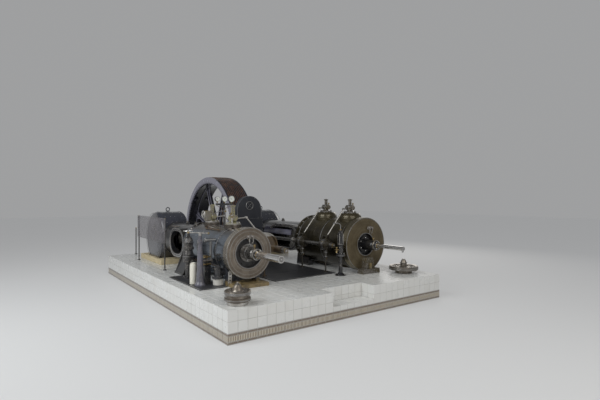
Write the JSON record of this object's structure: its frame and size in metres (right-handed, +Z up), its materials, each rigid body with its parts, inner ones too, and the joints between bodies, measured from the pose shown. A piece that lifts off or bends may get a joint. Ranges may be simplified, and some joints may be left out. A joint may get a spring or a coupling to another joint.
{
  "type": "horizontal twin-cylinder steam engine with rope wheel on a tiled plinth",
  "caption": "Horizontal steam engine: two lagged cylinders with tail rods drive cranks at the ends of one shaft, with a grooved rope wheel between them, on a white-tiled plinth.",
  "frame": {"origin": "middle of the underside of the foundation block", "axes": "+Y from the tail rods towards the crankshaft, +X to the right seen from the tail rods, +Z up"},
  "size_m": [4.5, 6.6, 3.0393],
  "materials": {
    "white_tile": "glazed wall tiles with grey joints",
    "black_plate": "oiled black floor plate",
    "blue_lagging": "blue-grey planished sheet lagging",
    "olive_lagging": "olive-brown sheet lagging",
    "cover_iron": "machined, waxed cast iron",
    "bronze_cover": "bronze-brown waxed cast iron",
    "black_iron": "black paint",
    "black_gloss": "gloss black paint",
    "foot_paint": "ochre-brown paint",
    "dark_iron": "dark grey paint",
    "violet_sheet": "blue-violet grey gloss paint",
    "casing_paint": "dark blue-grey gloss paint",
    "pale_timber": "pale pine boards",
    "brass": "polished brass",
    "olive_iron": "olive-brown paint",
    "gear_bronze": "oiled bronze and steel",
    "shield_paint": "dark blue-grey paint",
    "mesh_wire": "grey wire mesh",
    "violet_grey": "violet-grey gloss paint",
    "cream_enamel": "cream enamel",
    "bright_steel": "machined steel",
    "rope_fibre": "tarred hemp rope"
  },
  "bodies": {
    "root": {"plinth": "white_tile", "floor_plates": "black_plate", "left_cylinder": "blue_lagging", "right_cylinder": "olive_lagging", "left_rear_cover": "cover_iron", "right_rear_cover": "bronze_cover", "left_tail_gland": "black_iron", "right_tail_gland": "black_gloss", "left_cylinder_foot": "foot_paint", "right_cylinder_foot": "foot_paint", "left_guide": "dark_iron", "right_guide": "dark_iron", "right_guide_hood": "violet_sheet", "left_crank_casing": "casing_paint", "right_crank_casing": "casing_paint", "casing_boards": "pale_timber", "left_main_bearing": "dark_iron", "right_main_bearing": "dark_iron", "gear_cases": "dark_iron", "left_valve_bonnets": "brass", "right_valve_bonnets": "olive_iron", "left_valve_gear": "gear_bronze", "right_valve_gear": "gear_bronze", "wheel_shield": "shield_paint", "gauge_stand": "black_iron", "guard_posts": "black_iron", "guard_panel": "mesh_wire", "indicator_column": "violet_grey", "drain_column": "black_gloss", "drain_fittings": "black_iron", "stop_valve": "black_iron", "oil_can": "cream_enamel", "small_spare_piston": "bright_steel", "large_spare_piston": "bright_steel"},
    "crank_train": {"crankshaft": "bright_steel", "rope_wheel": "violet_grey", "drive_ropes": "rope_fibre"},
    "left_rods": {"left_piston_rod": "bright_steel", "left_crosshead": "bright_steel", "left_connecting_rod": "bright_steel"},
    "right_rods": {"right_piston_rod": "bright_steel", "right_crosshead": "bright_steel", "right_connecting_rod": "bright_steel"},
    "left_lay": {"left_lay_shaft": "bright_steel"},
    "right_lay": {"right_lay_shaft": "bright_steel"}
  },
  "joints": [
    {"name": "crank_turn", "type": "hinge", "parent": "root", "child": "crank_train", "pos_m": [0, 1.7, 1.6], "axis": [1, 0, 0], "continuous": true},
    {"name": "left_stroke", "type": "slide", "parent": "root", "child": "left_rods", "axis": [0, 1, 0], "range_m": [-0.1115, 0.5285]},
    {"name": "right_stroke", "type": "slide", "parent": "root", "child": "right_rods", "axis": [0, 1, 0], "range_m": [-0.1115, 0.5285]},
    {"name": "left_lay_turn", "type": "hinge", "parent": "root", "child": "left_lay", "pos_m": [-0.6, 1.7, 1.6], "axis": [0, 1, 0], "continuous": true},
    {"name": "right_lay_turn", "type": "hinge", "parent": "root", "child": "right_lay", "pos_m": [0.6, 1.7, 1.6], "axis": [0, 1, 0], "continuous": true}
  ],
  "couplings": [
    {"joint": "left_lay_turn", "follows": "crank_turn", "ratio": 1},
    {"joint": "right_lay_turn", "follows": "crank_turn", "ratio": -1}
  ]
}
